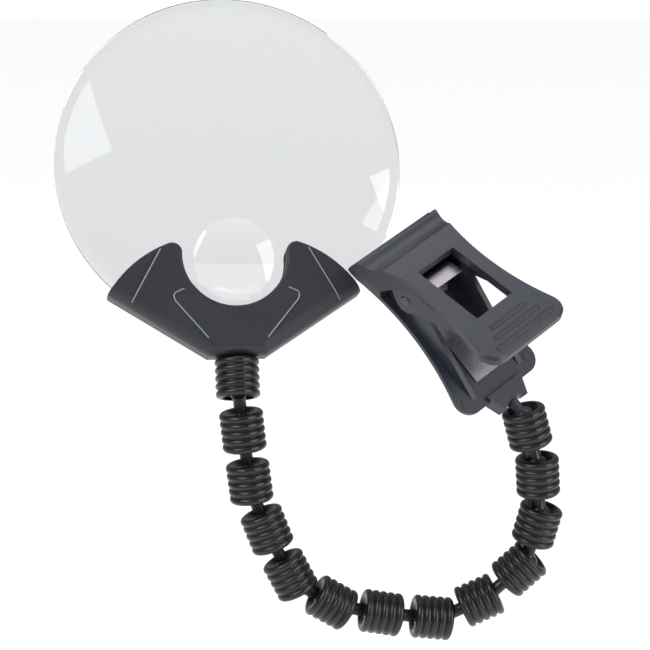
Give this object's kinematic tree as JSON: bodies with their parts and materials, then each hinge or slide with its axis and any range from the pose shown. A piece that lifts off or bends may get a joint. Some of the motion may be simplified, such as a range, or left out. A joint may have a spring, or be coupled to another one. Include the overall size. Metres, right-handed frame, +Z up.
{
  "type": "helping hands magnifier",
  "caption": "Clear rimless magnifying lens in a winged holder, on a bendable neck of ball-and-socket links that ends in a spring clip.",
  "frame": {"origin": "middle of the grip between the clip's jaws, where the jaws meet what the clip holds", "axes": "+Z up through the lens, along the longest extent; +X from the lens towards the clip's side; +Y from the front of the lens to its back, along the shortest extent"},
  "size_m": [0.1661, 0.0806, 0.2095],
  "materials": {
    "clear_acrylic": "polished clear moulded acrylic",
    "holder_plastic": "fine-textured black moulded plastic",
    "link_plastic": "smooth semi-gloss black moulded plastic",
    "clip_plastic": "satin charcoal moulded plastic",
    "spring_steel": "bright rolled spring steel",
    "pin_steel": "dark drawn steel",
    "screw_steel": "blackened steel"
  },
  "bodies": {
    "clip_lower": {"clip_lower": "clip_plastic", "clip_pin": "pin_steel", "clip_spring": "spring_steel"},
    "clip_upper": {"clip_upper": "clip_plastic"},
    "link_13": {"link_13": "link_plastic"},
    "link_12": {"link_12": "link_plastic"},
    "link_11": {"link_11": "link_plastic"},
    "link_10": {"link_10": "link_plastic"},
    "link_09": {"link_09": "link_plastic"},
    "link_08": {"link_08": "link_plastic"},
    "link_07": {"link_07": "link_plastic"},
    "link_06": {"link_06": "link_plastic"},
    "link_05": {"link_05": "link_plastic"},
    "link_04": {"link_04": "link_plastic"},
    "link_03": {"link_03": "link_plastic"},
    "link_02": {"link_02": "link_plastic"},
    "link_01": {"link_01": "link_plastic"},
    "lens_head": {"lens": "clear_acrylic", "holder_front": "holder_plastic", "holder_rear": "holder_plastic", "holder_screws": "screw_steel"}
  },
  "joints": [
    {"name": "jaw_hinge", "type": "hinge", "parent": "clip_lower", "child": "clip_upper", "pos_m": [0.01438, -0.00908, -0.01192], "axis": [0.6967, 0.6113, 0.3753], "range_deg": [0, 22], "stiffness_Nm_per_rad": 0.5, "springref_deg": -34.38},
    {"name": "neck_13", "type": "hinge", "parent": "clip_lower", "child": "link_13", "pos_m": [0.0436, -0.01504, -0.05643], "axis": [-0.583, -0.7801, -0.2269], "range_deg": [-2, 63]},
    {"name": "neck_12", "type": "hinge", "parent": "link_13", "child": "link_12", "pos_m": [0.04806, -0.01354, -0.07308], "axis": [-0.9976, 0, -0.0698], "range_deg": [-5, 31]},
    {"name": "neck_11", "type": "hinge", "parent": "link_12", "child": "link_11", "pos_m": [0.04926, -0.01203, -0.09027], "axis": [0, -1, 0], "range_deg": [-2, 50]},
    {"name": "neck_10", "type": "hinge", "parent": "link_11", "child": "link_10", "pos_m": [0.04509, -0.01052, -0.107], "axis": [0, 1, 0], "range_deg": [-65, 1]},
    {"name": "neck_09", "type": "hinge", "parent": "link_10", "child": "link_09", "pos_m": [0.03266, -0.00962, -0.119], "axis": [0, -1, 0], "range_deg": [-2, 52]},
    {"name": "neck_08", "type": "hinge", "parent": "link_09", "child": "link_08", "pos_m": [0.01699, -0.01022, -0.12631], "axis": [0, 1, 0], "range_deg": [-66, 0]},
    {"name": "neck_07", "type": "hinge", "parent": "link_08", "child": "link_07", "pos_m": [0.00003, -0.01263, -0.12392], "axis": [-0.208, 0, -0.9781], "range_deg": [-17, 32]},
    {"name": "neck_06", "type": "hinge", "parent": "link_07", "child": "link_06", "pos_m": [-0.01668, -0.01533, -0.12037], "axis": [0, 1, 0], "range_deg": [-53, 2]},
    {"name": "neck_05", "type": "hinge", "parent": "link_06", "child": "link_05", "pos_m": [-0.03127, -0.01714, -0.11125], "axis": [0, -1, 0], "range_deg": [-1, 64]},
    {"name": "neck_04", "type": "hinge", "parent": "link_05", "child": "link_04", "pos_m": [-0.03913, -0.01714, -0.09584], "axis": [0.9336, 0, 0.3584], "range_deg": [-32, 5]},
    {"name": "neck_03", "type": "hinge", "parent": "link_04", "child": "link_03", "pos_m": [-0.04533, -0.01714, -0.07969], "axis": [0, -1, 0], "range_deg": [-11, 47]},
    {"name": "neck_02", "type": "hinge", "parent": "link_03", "child": "link_02", "pos_m": [-0.04744, -0.01714, -0.06251], "axis": [0.9945, 0, 0.1045], "range_deg": [-33, 5]},
    {"name": "neck_01", "type": "hinge", "parent": "link_02", "child": "link_01", "pos_m": [-0.04924, -0.01714, -0.04531], "axis": [-1, 0, 0], "range_deg": [-8, 9]},
    {"name": "lens_swivel", "type": "hinge", "parent": "link_01", "child": "lens_head", "pos_m": [-0.05008, -0.01038, -0.02941], "axis": [-0.0482, 0.3907, 0.9192], "range_deg": [-8, 149]}
  ]
}
